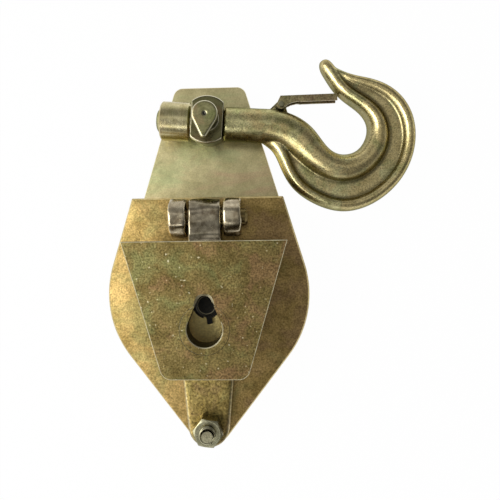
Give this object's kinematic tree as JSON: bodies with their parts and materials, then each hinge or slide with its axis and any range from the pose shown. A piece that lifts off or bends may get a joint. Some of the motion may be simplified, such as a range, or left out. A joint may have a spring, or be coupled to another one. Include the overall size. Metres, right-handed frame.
{
  "type": "pulley block",
  "caption": "Side-opening steel pulley block with a grooved sheave, a hinged door with keyhole, and a swivel hook with safety latch.",
  "frame": {"origin": "on the sheave's axis, in the outer face of the rear strap that the block lies on", "axes": "+Z along the sheave's axis, out of the front cheek; +Y along the block towards the crosshead; +X to the side the hook points to at rest"},
  "size_m": [0.2035, 0.2506, 0.078],
  "materials": {
    "zinc_plate": "yellow-passivated zinc on rolled steel plate",
    "zinc_pale": "pale yellow-passivated zinc on smooth steel plate",
    "zinc_forged": "yellow-passivated zinc on forged steel",
    "zinc_turned": "yellow-passivated zinc on turned steel",
    "zinc_bright": "clear zinc on steel fasteners",
    "black_spring": "black oxide on spring steel",
    "bronze": "plain bronze",
    "sheave_steel": "yellow-passivated zinc on turned sheave"
  },
  "bodies": {
    "frame": {"rear_cheek": "zinc_pale", "front_cheek": "zinc_plate", "front_strap": "zinc_plate", "rear_strap": "zinc_plate", "hinge_lug_left": "zinc_plate", "hinge_lug_right": "zinc_plate", "hinge_pin": "zinc_turned", "hub_washer_rear": "zinc_turned", "hub_washer_front": "zinc_turned", "axle": "zinc_turned", "axle_ring": "black_spring", "bottom_spacer": "zinc_turned", "bottom_bolt": "zinc_bright", "bottom_nut": "zinc_bright"},
    "door": {"door_plate": "zinc_plate", "door_bush": "zinc_turned", "door_lug": "zinc_plate"},
    "crosshead": {"crosshead": "zinc_turned", "trunnion_keeper": "zinc_turned"},
    "hook": {"hook": "zinc_forged", "shank_collar": "zinc_turned", "shank_washer": "zinc_turned", "latch_pin": "zinc_bright", "latch_spring": "black_spring"},
    "latch": {"latch": "zinc_plate"},
    "sheave": {"sheave": "sheave_steel", "hub_bush": "bronze"}
  },
  "joints": [
    {"name": "door_hinge", "type": "hinge", "parent": "frame", "child": "door", "pos_m": [0, 0.0534, 0.0608], "axis": [-1, 0, 0], "range_deg": [0, 180]},
    {"name": "crosshead_swivel", "type": "hinge", "parent": "frame", "child": "crosshead", "pos_m": [0, 0.1182, 0.0293], "axis": [0, 0, 1], "range_deg": [-8, 188]},
    {"name": "hook_swivel", "type": "hinge", "parent": "crosshead", "child": "hook", "pos_m": [0, 0.1182, 0.0293], "axis": [0.9972, -0.075, 0], "continuous": true},
    {"name": "latch_hinge", "type": "hinge", "parent": "hook", "child": "latch", "pos_m": [0.04956, 0.12911, 0.0293], "axis": [0, 0, -1], "range_deg": [0, 40], "stiffness_Nm_per_rad": 0.03, "springref_deg": -68.75},
    {"name": "sheave_spin", "type": "hinge", "parent": "frame", "child": "sheave", "pos_m": [0, 0, 0.0293], "axis": [0, 0, 1], "continuous": true}
  ]
}
